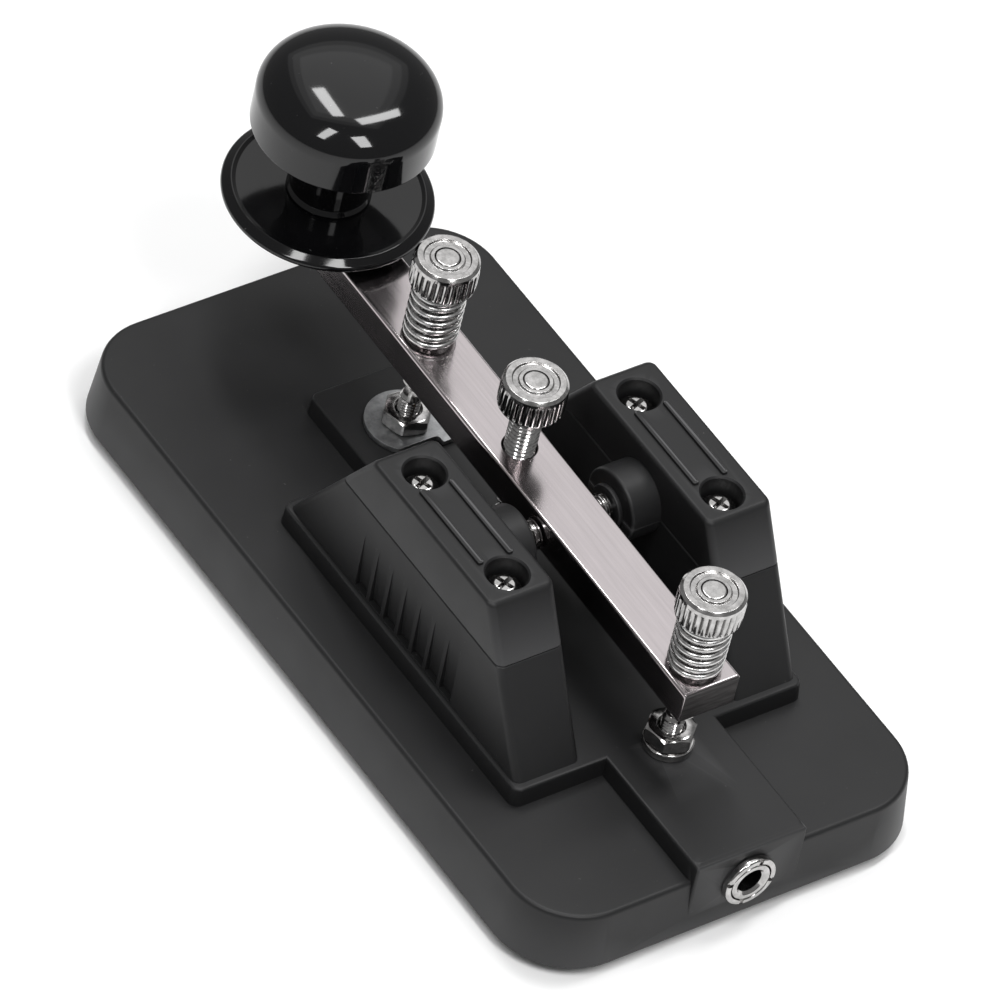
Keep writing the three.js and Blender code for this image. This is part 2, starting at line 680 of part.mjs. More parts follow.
// One moulding: a plain neck under a drum with a domed top.
function knob() {
  const { r, rim, shoulder, dome, power, neck } = KNOB;
  const low = 6.3 + GAP;
  const skin = [
    [SCREW_R + 0.15, low],
    [neck + 0.5, low],
    [neck, low + 0.6],
    [neck, rim - 2.2],
    [neck + 1.6, rim - 0.6],
    [r - 1.2, rim],
    [r - 0.3, rim + 0.35],
    [r, rim + 1.1],
  ];
  const DOME_STEPS = 9;
  for (let i = 0; i < DOME_STEPS; i += 1) {
    const a = (i / DOME_STEPS) * (Math.PI / 2);
    skin.push([r * Math.cos(a) ** (2 / power), shoulder + dome * Math.sin(a) ** (2 / power)]);
  }
  const inside = [[0, shoulder + dome], [0, 15.0], [SCREW_R + 0.15, 15.0], [SCREW_R + 0.15, low]];
  return turned([...skin, ...inside], FINE + 8);
}

function addLever() {
  add(lever, 'lever_arm', leverArm(), STEEL);
  add(lever, 'axle', alongX(rod(AXLE_R, -AXLE_HALF, AXLE_HALF)), STEEL);
  add(lever, 'left_axle_collar', axleCollar(-1), NICKEL);
  add(lever, 'right_axle_collar', axleCollar(1), NICKEL);
  add(lever, 'knob_skirt', knobSkirt(), GLOSS, [0, KNOB_Y, 0]);
  add(lever, 'knob', knob(), GLOSS, [0, KNOB_Y, 0]);
  const screw = new THREE.Group();
  screw.position.set(0, KNOB_Y, ARM_LOW - GAP);
  screw.rotation.x = Math.PI;
  lever.add(screw);
  add(screw, 'knob_screw', panScrew(3.6, 2.0, SCREW_R, 15.6), NICKEL);
}

// ---------------------------------------------------------------- adjusting screws
// Fluted head with a ring recess round the end of the screw.
function knurledHead(low) {
  const high = low + HEAD_H;
  const outline = Array.from({ length: KNURLS * 2 }, (_, i) => {
    const a = (Math.PI * i) / KNURLS;
    const r = i % 2 ? HEAD_R - 0.3 : HEAD_R + 0.1;
    return [r * Math.cos(a), r * Math.sin(a)];
  });
  const inset = outline.map(([x, y]) => [x * 0.92, y * 0.92]);
  const blank = loft([
    { z: low, points: outline },
    { z: high - 0.4, points: outline },
    { z: high, points: inset },
  ]);
  const ringRecess = tube(SPIGOT_R + 0.05, 2.6, high - 0.4, high + 1, COARSE);
  return cutBy(blank, rod(SPIGOT_R + 0.1, low - 1, high + 1), ringRecess);
}

function lockedScrew({ headLow, tip }) {
  const shoulder = headLow - GAP;
  return turned([
    [0, tip],
    [0.9, tip],
    [1.3, tip + 0.8],
    [SCREW_R, tip + 1.5],
    [SCREW_R, shoulder],
    [SPIGOT_R, shoulder],
    [SPIGOT_R, headLow + HEAD_H],
    [0, headLow + HEAD_H],
  ], COARSE);
}

function tensionScrew({ headLow, tip }) {
  const shoulder = headLow - GAP;
  return turned([
    [TENSION_BORE_R, tip],
    [TENSION_R - 0.2, tip],
    [TENSION_R, tip + 0.3],
    [TENSION_R, shoulder],
    [SPIGOT_R, shoulder],
    [SPIGOT_R, headLow + HEAD_H],
    [0, headLow + HEAD_H],
    [0, TENSION_BORE_TOP],
    [TENSION_BORE_R, TENSION_BORE_TOP],
    [TENSION_BORE_R, tip],
  ], COARSE);
}

function addScrews() {
  const springFoot = ARM_TOP + GAP;
  const locked = [['gap_screw', FRONT_SCREW], ['stop_screw', REAR_SCREW]];
  for (const [name, screw] of locked) {
    add(lever, `${name}_head`, knurledHead(screw.headLow), NICKEL, [0, screw.y, 0]);
    add(lever, `${name}_shank`, lockedScrew(screw), NICKEL, [0, screw.y, 0]);
    add(lever, `${name}_spring`, coilSpring(LOCK_SPRING, springFoot, screw.headLow - GAP),
      SPRING_STEEL, [0, screw.y, 0]);
  }
  const { y, headLow } = TENSION_SCREW;
  add(lever, 'tension_screw_head', knurledHead(headLow), NICKEL, [0, y, 0]);
  add(lever, 'tension_screw_shank', tensionScrew(TENSION_SCREW), NICKEL, [0, y, 0]);
  add(lever, 'tension_button', rod(TENSION_BORE_R - 0.15, TENSION_BORE_TOP - 1.1,
    TENSION_BORE_TOP - GAP), BRASS, [0, y, 0]);
}

function addReturnSpring() {
  const low = DECK_TOP + 1.1 + GAP;
  const high = PIVOT_Z + TENSION_BORE_TOP - 1.1 + TENSION_SCREW.y * Math.sin(REST_TILT) - 0.5;
  add(fixed, 'return_spring', coilSpring(RETURN_SPRING, low, high), SPRING_STEEL,
    [0, springAxisY(), 0]);
}

addBase();
addBearings();
addContacts();
addJack();
addLever();
addScrews();
addReturnSpring();

export default key;
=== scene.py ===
"""Looks of a straight morse key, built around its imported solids.

The scene is in metres, +Z up and +Y to the knob. Shapes are written in millimetres, in one of two
frames: FIXED, on the table under the middle of the base, and LEVER, on the axle and tilted with
the lever at rest.
"""
import json
import math

import bmesh
import bpy
from mathutils import Matrix, Vector


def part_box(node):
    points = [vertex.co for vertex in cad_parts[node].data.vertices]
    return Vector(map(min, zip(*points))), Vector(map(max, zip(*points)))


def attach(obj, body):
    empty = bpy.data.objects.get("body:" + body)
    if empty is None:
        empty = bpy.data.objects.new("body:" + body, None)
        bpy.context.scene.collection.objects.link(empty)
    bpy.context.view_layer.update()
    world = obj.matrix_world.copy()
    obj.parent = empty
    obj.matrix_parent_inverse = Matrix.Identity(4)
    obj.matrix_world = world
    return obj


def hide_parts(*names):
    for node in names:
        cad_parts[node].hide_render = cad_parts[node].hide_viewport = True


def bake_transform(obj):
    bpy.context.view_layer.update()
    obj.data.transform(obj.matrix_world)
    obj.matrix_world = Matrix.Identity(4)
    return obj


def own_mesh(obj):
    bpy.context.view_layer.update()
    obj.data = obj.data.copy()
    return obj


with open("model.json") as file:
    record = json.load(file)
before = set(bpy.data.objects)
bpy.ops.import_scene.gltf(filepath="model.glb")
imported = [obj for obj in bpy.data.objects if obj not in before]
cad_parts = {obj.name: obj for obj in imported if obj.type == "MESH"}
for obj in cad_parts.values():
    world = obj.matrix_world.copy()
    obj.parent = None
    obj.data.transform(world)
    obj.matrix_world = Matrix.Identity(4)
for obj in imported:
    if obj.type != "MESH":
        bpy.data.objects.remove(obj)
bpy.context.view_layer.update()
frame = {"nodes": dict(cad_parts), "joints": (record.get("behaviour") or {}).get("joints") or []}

MM = 0.001
TAU = 2 * math.pi
SAME_PLACE = 1e-7
SHARP_DEG = 32

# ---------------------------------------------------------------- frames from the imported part
JOINTS = {j["name"]: j for j in frame["joints"]}
shell_low, shell_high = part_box("base_shell")
FIXED = Matrix.Translation((0, (shell_low.y + shell_high.y) / 2, shell_low.z))
PIVOT = Vector(JOINTS["lever_rock"]["pos_m"])
screw_axis = Vector(JOINTS["gap_screw_travel"]["axis"])
TILT = math.atan2(-screw_axis.y, screw_axis.z)
LEVER = Matrix.Translation(PIVOT) @ Matrix.Rotation(TILT, 4, "X")
TO_FIXED = FIXED.inverted()
TO_LEVER = LEVER.inverted()


def in_frame(inverse, node):
    """Lowest and highest corners, in millimetres, of a CAD node in the fixed or the lever's frame."""
    points = [inverse @ v.co / MM for v in frame["nodes"][node].data.vertices]
    low = Vector(min(p[i] for p in points) for i in range(3))
    high = Vector(max(p[i] for p in points) for i in range(3))
    return low, high


def fixed_at(x, y, z=0.0):
    """The fixed frame moved by an offset in millimetres."""
    return FIXED @ Matrix.Translation(Vector((x, y, z)) * MM)


def lever_at(y, z=0.0):
    """The lever's frame moved along and above the lever, in millimetres."""
    return LEVER @ Matrix.Translation((0, y * MM, z * MM))


def z_turn(degrees):
    return Matrix.Rotation(math.radians(degrees), 4, "Z")


# ---------------------------------------------------------------- outlines and surfaces
def filleted(points, steps=4, closed=False):
    """Rounds each (a, b, radius) corner of a polyline; a corner with no radius stays sharp."""
    out = []
    n = len(points)
    for i, p in enumerate(points):
        here = Vector(p[:2])
        radius = p[2] if len(p) > 2 else 0
        if not radius or (not closed and i in (0, n - 1)):
            out.append(tuple(here))
            continue
        back = Vector(points[i - 1][:2]) - here
        ahead = Vector(points[(i + 1) % n][:2]) - here
        reach = radius / math.tan(back.angle(ahead) / 2)
        reach = min(reach, back.length * 0.48, ahead.length * 0.48)
        start = here + back.normalized() * reach
        end = here + ahead.normalized() * reach
        for k in range(steps + 1):
            t = k / steps
            out.append(tuple(start * (1 - t) ** 2 + here * (2 * t * (1 - t)) + end * t ** 2))
    return out


def rounded_rect(half_x, half_y, r, steps=10):
    """Outline of a rectangle with round corners, anticlockwise."""
    points = []
    for k, (sx, sy) in enumerate([(1, 1), (-1, 1), (-1, -1), (1, -1)]):
        cx, cy = sx * (half_x - r), sy * (half_y - r)
        for i in range(steps + 1):
            a = (k + i / steps) * math.pi / 2
            points.append((cx + r * math.cos(a), cy + r * math.sin(a)))
    return points


def skin(rings, closed_loop=False):
    """Faces between rings of points; the first and last ring are capped unless they join."""
    n = len(rings[0])
    verts = [p for ring in rings for p in ring]
    faces = []
    count = len(rings)
    for k in range(count if closed_loop else count - 1):
        a0, b0 = k * n, ((k + 1) % count) * n
        for i in range(n):
            j = (i + 1) % n
            faces.append((a0 + i, a0 + j, b0 + j, b0 + i))
    if not closed_loop:
        faces.append(tuple(reversed(range(n))))
        faces.append(tuple(range((count - 1) * n, count * n)))
    return verts, faces


def loft(half_x, half_y, r, profile, centre=(0, 0), steps=10):
    """Rounded rectangle swept up a profile of (outset, z)."""
    rings = []
    for out, z in profile:
        outline = rounded_rect(half_x + out, half_y + out, max(r + out, 0.05), steps)
        rings.append([(x + centre[0], y + centre[1], z) for x, y in outline])
    return skin(rings)


def lathe(profile, n=64, shape=None, axis="Z", at=(0, 0, 0)):
    """Turns a (radius, height) profile; shape(radius, height, angle) may change the radius."""
    closed_loop = profile[0] == profile[-1]
    rows = profile[:-1] if closed_loop else profile
    rings = []
    for r, z in rows:
        ring = []
        for i in range(n):
            a = TAU * i / n
            q = shape(r, z, a) if shape and r > 0 else r
            x, y = q * math.cos(a), q * math.sin(a)
            ring.append({"Z": (x, y, z), "X": (z, x, y), "-Y": (x, -z, y)}[axis])
        rings.append([tuple(c + d for c, d in zip(p, at)) for p in ring])
    return skin(rings, closed_loop)


def prism_z(outline, z0, z1):
    """(x, y) outline pushed along Z."""
    return skin([[(x, y, z) for x, y in outline] for z in (z0, z1)])


def block(x0, x1, y0, y1, z0, z1):
    """Square tool for a cut."""
    return prism_z([(x0, y0), (x1, y0), (x1, y1), (x0, y1)], z0, z1)


def drill(r, z0, z1, n=40, **place):
    """Plain round tool for a hole."""
    return lathe([(0, z0), (r, z0), (r, z1), (0, z1)], n, **place)


def helix(r, wire, z0, z1, active, n=36, sides=12, ends=1.0):
    """Coil spring with closed, ground end turns."""
    turns = active + 2 * ends
    close = 2 * wire * 1.04
    free = (z1 - z0) - 2 * wire - 2 * ends * close
    steps = int(turns * n)
    rings = []
    for k in range(steps + 1):
        u = turns * k / steps
        z = z0 + wire + close * min(u, ends) + close * max(u - ends - active, 0)
        z += free * min(max((u - ends) / active, 0), 1)
        a = TAU * u
        ring = []
        for i in range(sides):
            b = TAU * i / sides
            q = r + wire * math.cos(b)
            h = min(max(z + wire * math.sin(b), z0), z1)
            ring.append((q * math.cos(a), q * math.sin(a), h))
        rings.append(ring)
    return skin(rings)


def thread_profile(r, pitch, z0, z1, steps=6):
    """Dense straight side, ready for a screw thread."""
    n = max(2, int((z1 - z0) / pitch * steps))
    return [(r, z0 + (z1 - z0) * i / n) for i in range(n + 1)]


def threaded(pitch, z0, z1, depth):
    """Radius rule for lathe that cuts a thread between two heights, fading out at its ends."""
    def shape(r, z, a):
        if not z0 < z < z1:
            return r
        fade = min(1, (z - z0) / pitch, (z1 - z) / pitch)
        t = (z / pitch - a / TAU) % 1
        return r - depth * fade * (0.5 + 0.5 * math.cos(TAU * t))
    return shape


def hex_nut(flats, bore, z0, z1, turn, n=96):
    """Chamfered hexagon nut round Z."""
    ease = flats / 2 * 0.94  # radius at which the chamfer starts
    slope = 0.58
    lip = 0.3
    angles = [TAU * i / n for i in range(n)]

    def hexagon(a):
        return flats / 2 / math.cos((a - math.radians(turn)) % (math.pi / 3) - math.pi / 6)

    def ring(radius, height):
        radii = [radius(a) if callable(radius) else radius for a in angles]
        heights = [height(q) if callable(height) else height for q in radii]
        return [(q * math.cos(a), q * math.sin(a), h) for a, q, h in zip(angles, radii, heights)]

    def top(q):
        return z1 - max(0, q - ease) * slope

    def foot(q):
        return z0 + max(0, q - ease) * slope

    def between(a):
        return (hexagon(a) + ease) / 2

    rings = [
        ring(bore, z0 + lip), ring(bore + lip, z0), ring(ease, z0),
        ring(between, foot), ring(hexagon, foot), ring(hexagon, top), ring(between, top),
        ring(ease, z1), ring(bore + lip, z1), ring(bore, z1 - lip),
    ]
    return skin(rings, closed_loop=True)


# ---------------------------------------------------------------- objects
def new_object(name, shape, matrix):
    """Object from points and faces in millimetres, moved to its place by the matrix."""
    verts, faces = shape
    mesh = bpy.data.meshes.new(name)
    mesh.from_pydata([Vector(v) * MM for v in verts], [], faces)
    mesh.transform(matrix)
    made = bpy.data.objects.new(name, mesh)
    bpy.context.scene.collection.objects.link(made)
    clean(made)
    return made


def clean(made):
    """Merges doubles, points the faces out, and smooths all but the sharp edges."""
    bm = bmesh.new()
    bm.from_mesh(made.data)
    bmesh.ops.remove_doubles(bm, verts=bm.verts, dist=SAME_PLACE)
    bmesh.ops.dissolve_degenerate(bm, edges=bm.edges, dist=SAME_PLACE)
    bmesh.ops.recalc_face_normals(bm, faces=bm.faces)
    for face in bm.faces:
        face.smooth = True
    limit = math.radians(SHARP_DEG)
    for edge in bm.edges:
        edge.smooth = len(edge.link_faces) != 2 or edge.calc_face_angle(0) < limit
    bm.to_mesh(made.data)
    bm.free()
    made.data.update()


def apply_modifiers(made):
    """Replaces an object's mesh by what its modifiers make of it."""
    graph = bpy.context.evaluated_depsgraph_get()
    mesh = bpy.data.meshes.new_from_object(made.evaluated_get(graph))
    made.modifiers.clear()
    made.data = mesh


def join_or_cut(made, operation, tool):
    """Adds a tool object to an object, or takes it away, and removes the tool."""
    modifier = made.modifiers.new("combine", "BOOLEAN")
    modifier.operation = operation
    modifier.solver = "EXACT"
    modifier.object = tool
    apply_modifiers(made)
    clean(made)
    bpy.data.objects.remove(tool)


def combine(made, operation, *shapes, matrix):
    """Adds shapes to, or takes them from, an object."""
    for shape in shapes:
        join_or_cut(made, operation, new_object("tool", shape, matrix))


def bevel(made, width, segments, angle=35):
    modifier = made.modifiers.new("bevel", "BEVEL")
    modifier.width = width * MM
    modifier.segments = segments
    modifier.limit_method = "ANGLE"
    modifier.angle_limit = math.radians(angle)
    apply_modifiers(made)
    clean(made)


def even_normals(made):
    """Lets the large faces set the shading, so that small fillets don't bend it."""
    made.modifiers.new("even", "WEIGHTED_NORMAL").keep_sharp = True
    apply_modifiers(made)


def finish_piece(made, material, body, node):
    """Gives a piece its material, puts it on its body and hides the CAD node it stands for."""
    even_normals(made)
    made.data.materials.clear()
    made.data.materials.append(material)
    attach(made, body)
    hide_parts(node)


def copies(source, places):
    """Further copies of a piece of the base: {node: offset in millimetres}."""
    for node, offset in places.items():
        made = bpy.data.objects.new("look_" + node, source.data)
        bpy.context.scene.collection.objects.link(made)
        made.matrix_world = Matrix.Translation(Vector(offset) * MM)
        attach(made, "base")
        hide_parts(node)


# ---------------------------------------------------------------- materials
class Paint:
    """A Principled material with short calls for the nodes that feed it."""

    def __init__(self, name, color, metallic, roughness, **constants):
        self.material = bpy.data.materials.new(name)
        self.material.use_nodes = True
        self.tree = self.material.node_tree
        self.shader = self.tree.nodes["Principled BSDF"]
        self.shader.inputs["Base Color"].default_value = (*color, 1)
        self.shader.inputs["Metallic"].default_value = metallic
        self.shader.inputs["Roughness"].default_value = roughness
        for key, value in constants.items():
            self.shader.inputs[key.replace("_", " ")].default_value = value
        self.coordinates = self.node("ShaderNodeTexCoord").outputs["Object"]

    def node(self, kind, **settings):
        made = self.tree.nodes.new(kind)
        for key, value in settings.items():
            setattr(made, key, value)
        return made

    def link(self, source, target):
        self.tree.links.new(source, target)

    def stretched(self, scale):
        """Object coordinates with their own scale along each axis."""
        mapping = self.node("ShaderNodeMapping")
        self.link(self.coordinates, mapping.inputs["Vector"])
        mapping.inputs["Scale"].default_value = scale
        return mapping.outputs["Vector"]

    def noise(self, scale, detail=3.0, rough=0.5, vector=None):
        made = self.node("ShaderNodeTexNoise")
        self.link(vector or self.coordinates, made.inputs["Vector"])
        made.inputs["Scale"].default_value = scale
        made.inputs["Detail"].default_value = detail
        made.inputs["Roughness"].default_value = rough
        return made.outputs["Fac"]

    def spread(self, value, low, high, to_low, to_high):
        """Maps value from one range to another, held at both ends."""
        made = self.node("ShaderNodeMapRange")
        self.link(value, made.inputs["Value"])
        limits = {"From Min": low, "From Max": high, "To Min": to_low, "To Max": to_high}
        for key, number in limits.items():
            made.inputs[key].default_value = number
        return made.outputs["Result"]

    def mix(self, factor, a, b):
        made = self.node("ShaderNodeMix", data_type="RGBA")
        self.link(factor, made.inputs["Factor"])
        for socket, value in ((made.inputs[6], a), (made.inputs[7], b)):
            if isinstance(value, tuple):
                socket.default_value = (*value, 1)
            else:
                self.link(value, socket)
        return made.outputs[2]

    def color(self, socket):
        self.link(socket, self.shader.inputs["Base Color"])

    def roughness(self, socket):
        self.link(socket, self.shader.inputs["Roughness"])

    def bump(self, height, strength, distance):
        made = self.node("ShaderNodeBump")
        made.inputs["Strength"].default_value = strength
        made.inputs["Distance"].default_value = distance * MM
        self.link(height, made.inputs["Height"])
        before = self.shader.inputs["Normal"].links
        if before:
            self.link(before[0].from_socket, made.inputs["Normal"])
        self.link(made.outputs["Normal"], self.shader.inputs["Normal"])

    def edges(self, low, high):
        """0 to 1 from flat to convex; with low above high, from flat to hollow."""
        pointiness = self.node("ShaderNodeNewGeometry").outputs["Pointiness"]
        return self.spread(pointiness, low, high, 0, 1)


def moulded_black():
    """Fine-grained plastic with edges painted paler, as edge wear and a painted edge highlight, and a
    few specks of dust.
    """
    paint = Paint("moulded_black", (0.010, 0.010, 0.0105), 0, 0.45, Specular_IOR_Level=0.30)
    cloud = paint.spread(paint.noise(60, 4), 0.3, 0.7, 0, 1)
    tone = paint.mix(cloud, (0.0088, 0.0088, 0.0092), (0.0115, 0.0115, 0.012))
    # Convex edges painted paler: edge wear, and a painted highlight along the edges.
    wear_and_edge_highlight = paint.mix(paint.edges(0.53, 0.60), tone, (0.075, 0.075, 0.077))
    dust = paint.spread(paint.noise(1300, 2, 0.6), 0.74, 0.79, 0, 0.35)
    paint.color(paint.mix(dust, wear_and_edge_highlight, (0.11, 0.108, 0.105)))
    paint.roughness(paint.spread(paint.noise(160, 5), 0.25, 0.75, 0.43, 0.52))
    paint.bump(paint.noise(2600, 3, 0.6), 0.10, 0.04)
    return paint.material


def gloss_black():
    """Polished plastic with a faint haze and dust."""
    tone = (0.003, 0.003, 0.0034)
    paint = Paint("gloss_black", tone, 0, 0.07, Specular_IOR_Level=0.42)
    haze = paint.spread(paint.noise(70, 5), 0.35, 0.7, 0.06, 0.11)
    paint.roughness(haze)
    dust = paint.spread(paint.noise(1500, 2, 0.6), 0.74, 0.78, 0, 0.35)
    paint.color(paint.mix(dust, tone, (0.15, 0.15, 0.15)))
    paint.bump(paint.noise(90, 2), 0.05, 0.3)
    return paint.material


def brushed(name, low, high, scale, rough, bump=0.10):
    """Metal strip or sheet with lay marks along one axis."""
    paint = Paint(name, high, 1, rough[0])
    lay = paint.noise(1, 4, 0.65, paint.stretched(scale))
    paint.color(paint.mix(paint.spread(lay, 0.3, 0.7, 0, 1), low, high))
    blotch = paint.noise(120, 5)
    both = paint.node("ShaderNodeMath", operation="MULTIPLY")
    paint.link(lay, both.inputs[0])
    paint.link(blotch, both.inputs[1])
    paint.roughness(paint.spread(both.outputs[0], 0.12, 0.4, *rough))
    paint.bump(lay, bump, 0.02)
    return paint.material


def plated(name, low, high, rough, speck=900):
    """Turned metal with a faint mottled tone, darker in its hollows."""
    paint = Paint(name, high, 1, rough[0])
    stain = paint.spread(paint.noise(speck, 5, 0.6), 0.35, 0.65, 0, 1)
    tone = paint.mix(stain, low, high)
    # Darker towards the hollows.
    paint.color(paint.mix(paint.edges(0.50, 0.40), tone, tuple(c * 0.35 for c in low)))
    paint.roughness(paint.spread(paint.noise(speck * 0.6, 4), 0.3, 0.7, *rough))
    paint.bump(paint.noise(speck * 2, 3), 0.06, 0.02)
    return paint.material


def sleeve(name, low, high, rough, grain=700, bump=0.1):
    """Rubber or insulation."""
    paint = Paint(name, high, 0, rough[0], Specular_IOR_Level=0.3)
    paint.color(paint.mix(paint.spread(paint.noise(grain * 0.2, 4), 0.3, 0.7, 0, 1), low, high))
    paint.roughness(paint.spread(paint.noise(grain, 4), 0.3, 0.7, *rough))
    paint.bump(paint.noise(grain * 3, 2), bump, 0.05)
    return paint.material


MOULDED = moulded_black()
GLOSS = gloss_black()
STRIP = brushed("steel_strip", (0.45, 0.415, 0.422), (0.51, 0.470, 0.478),
                (2600, 45, 2600), (0.15, 0.22), 0.035)
# Dark steel for the axle, and for the lever's rear end face, where its darkness is painted shade: the
# dark reflection that end face shows.
DARK_STEEL_AND_END_SHADE = brushed("dark_steel_and_end_shade", (0.035, 0.033, 0.033), (0.10, 0.095, 0.095),
                    (300, 300, 2600), (0.3, 0.45))
ZINC = brushed("zinc_sheet", (0.24, 0.245, 0.25), (0.42, 0.425, 0.43),
               (900, 900, 900), (0.38, 0.55), 0.06)
NICKEL = plated("nickel", (0.34, 0.335, 0.33), (0.55, 0.54, 0.535), (0.10, 0.2))
WIRE = plated("spring_wire", (0.42, 0.42, 0.42), (0.68, 0.67, 0.66), (0.16, 0.32))
BRASS = plated("brass", (0.42, 0.29, 0.12), (0.66, 0.47, 0.2), (0.2, 0.38))
RUBBER = sleeve("foot_rubber", (0.012, 0.012, 0.012), (0.028, 0.028, 0.028), (0.75, 0.92), 500, 0.3)
RED = sleeve("red_sleeve", (0.24, 0.015, 0.015), (0.34, 0.03, 0.03), (0.35, 0.5))
BLACK = sleeve("black_sleeve", (0.010, 0.010, 0.010), (0.02, 0.02, 0.02), (0.35, 0.5))

KEPT = {
    "contact_lead": RED, "lever_lead": BLACK, "jack_tip_tag": BRASS, "jack_sleeve_tag": BRASS,
    "jack_body": MOULDED, "tension_button": BRASS, "axle": DARK_STEEL_AND_END_SHADE,
    "front_contact_under_nut": NICKEL, "rear_stop_under_nut": NICKEL,
}
for node, material in KEPT.items():
    for holder in frame["nodes"][node].material_slots:
        holder.material = material

# ---------------------------------------------------------------- base shell
base_high = in_frame(TO_FIXED, "base_shell")[1]
cap_high = in_frame(TO_FIXED, "right_bearing_cap")[1]
AXLE = TO_FIXED @ PIVOT / MM
DRAFT = 0.9
CORNER = 9.6
BASE_X = base_high.x - DRAFT
BASE_Y = base_high.y - DRAFT
BASE_TOP = 8.9
DECK = 11.8
WALL = 2.4
SEAM = AXLE.z
SEAM_GAP = 0.1
TOWER_IN = 11.8
TOWER_OUT = cap_high.x
TOWER_TOP = 33.2
TOWER_FRONT = 4.3
TOWER_REAR = -23.2
FRONT_SLOPE = 0.64
REAR_SLOPE = 0.575
PANEL_Y = -57.6
SPINE_X = 8.5
SPINE_FRONT = 33.9
WING_X = 22.3
WING_FRONT = 18.8
WING_REAR = -36.5
BOSS_R = 5.1
BOSS_END = 7.3
BUSH_BORE = 2.5
BUSH_END = 16.0
CAP_SCREW_X = 16.6
CAP_SCREW_Y = (-0.2, -19.4)
CAP_SEAT = 29.6
STUDS = (24.0, -37.8)
STUD_HOLE_R = 1.7
JACK_Z = 6.6
JACK_HOLE_R = 3.1
FAR = 60.0  # beyond the base on every side, for cutting tools


def tower(side, profile):
    """Tapered block over one pedestal; profile is (outset, z)."""
    half_x = (TOWER_OUT - TOWER_IN) / 2
    half_y = (TOWER_FRONT - TOWER_REAR) / 2
    centre_y = (TOWER_FRONT + TOWER_REAR) / 2
    rings = []
    for out, z in profile:
        front = half_y + out + FRONT_SLOPE * (TOWER_TOP - z)
        rear = half_y + out + REAR_SLOPE * (TOWER_TOP - z)
        middle = centre_y + (front - rear) / 2
        outline = rounded_rect(half_x + out, (front + rear) / 2, max(1.1 + out, 0.1), 6)
        rings.append([(x + side * (TOWER_IN + TOWER_OUT) / 2, y + middle, z) for x, y in outline])
    return skin(rings)


def on_axle(side, profile, n):
    """Turned shape round the axle's line, on one side of the lever."""
    return lathe([(q, side * h) for q, h in profile], n, axis="X", at=(0, AXLE.y, AXLE.z))


def boss(side, keep_above):
    """Round boss on the pedestal's inner face, cut at the seam: its cap half or its lower half."""
    root = TOWER_IN + 1.5
    profile = filleted([(0, BOSS_END), (BOSS_R, BOSS_END, 0.5), (BOSS_R, root), (0, root)])
    made = new_object("collar", on_axle(side, profile, 72), FIXED)
    cut = (0, SEAM + SEAM_GAP) if keep_above else (SEAM, SEAM + 30)
    combine(made, "DIFFERENCE", block(-40, 40, -FAR, FAR, *cut), matrix=FIXED)
    return made


def bush_bore(side):
    """Tool for the bush's hole, with a step for its flange."""
    mouth, end = BUSH_BORE + 0.4, BUSH_END + 0.5
    profile = [(0, BOSS_END - 1), (mouth, BOSS_END - 1), (mouth, BOSS_END),
               (BUSH_BORE, BOSS_END + 0.4), (BUSH_BORE, end), (0, end)]
    return on_axle(side, profile, 48)


RIB_COUNT = 6
RIB_PITCH = 3.3
RIB_FIRST = -0.5
RIB_W = 0.7
SCOOP_LOW = 12.15
SCOOP_TOP = 22.6
SCOOP_DEPTH = 0.85


def scoops(side):
    """Wedge-shaped flutes between the ribs, deepest at the foot and fading upwards."""
    face = side * TOWER_OUT
    out = side * (TOWER_OUT + 1)
    for k in range(RIB_COUNT + 1):
        low = RIB_FIRST - k * RIB_PITCH + RIB_W / 2
        high = low + RIB_PITCH - RIB_W
        outline = rounded_rect(1, (high - low) / 2, 0.3, 3)
        rings = []
        for z, depth in ((SCOOP_LOW, SCOOP_DEPTH), (SCOOP_TOP, -0.05)):  # runs out of the face
            inner = face - side * depth
            x_mid, x_half = (inner + out) / 2, abs(out - inner) / 2
            rings.append([(x_mid + x * x_half, y + (low + high) / 2, z) for x, y in outline])
        yield skin(rings)


